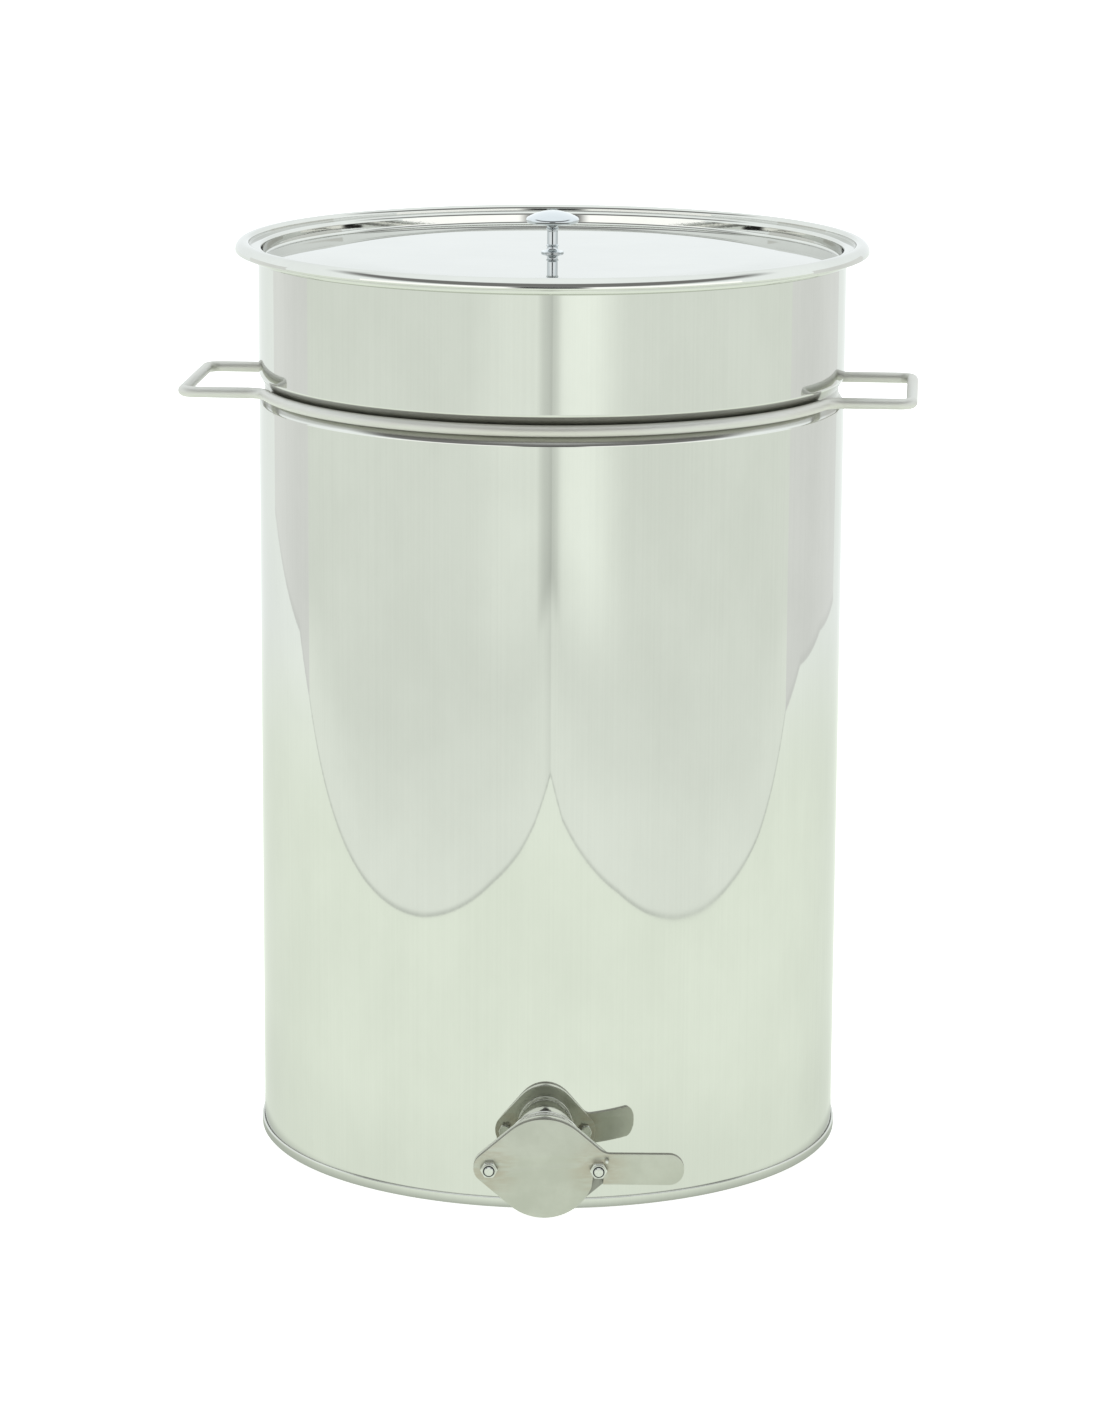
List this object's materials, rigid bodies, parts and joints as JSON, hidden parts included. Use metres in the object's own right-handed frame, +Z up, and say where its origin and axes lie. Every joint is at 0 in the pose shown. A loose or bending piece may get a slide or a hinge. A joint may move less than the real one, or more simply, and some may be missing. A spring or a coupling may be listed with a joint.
{
  "type": "honey settling tank",
  "caption": "Tall cylindrical steel honey tank with a dished lift-off lid and knob, a carrying ring with loop handles, and a swinging flap gate at the foot.",
  "frame": {"origin": "middle of the tank's base, on the floor it stands on", "axes": "+Z up along the drum's axis, -Y out of the honey gate, +X towards the end of the gate's lever when it is shut"},
  "size_m": [0.5058, 0.4653, 0.6434],
  "materials": {
    "bright_steel": "bright annealed, mirror-like",
    "satin_steel": "satin",
    "polished": "polished",
    "seal": "matte",
    "nylon": "matte"
  },
  "bodies": {
    "tank": {"drum_wall": "bright_steel", "drum_bottom": "bright_steel", "carrying_ring": "satin_steel", "outlet_pipe": "satin_steel", "gate_flange": "satin_steel", "gate_seal": "seal", "pivot_bolt": "satin_steel", "pivot_nut": "satin_steel", "pivot_nut_insert": "nylon", "clamp_bolt": "satin_steel", "clamp_nut": "satin_steel", "clamp_nut_insert": "nylon"},
    "lid": {"lid_pan": "bright_steel", "lid_knob": "polished", "knob_washer": "satin_steel", "knob_screw": "satin_steel"},
    "flap": {"gate_flap": "satin_steel", "stop_pin": "satin_steel"}
  },
  "joints": [
    {"name": "lid_lift", "type": "slide", "parent": "tank", "child": "lid", "axis": [0, 0, 1], "range_m": [0, 0.2]},
    {"name": "gate_swing", "type": "hinge", "parent": "tank", "child": "flap", "pos_m": [-0.036, -0.2403, 0.0415], "axis": [0, -1, 0], "range_deg": [0, 110]}
  ]
}
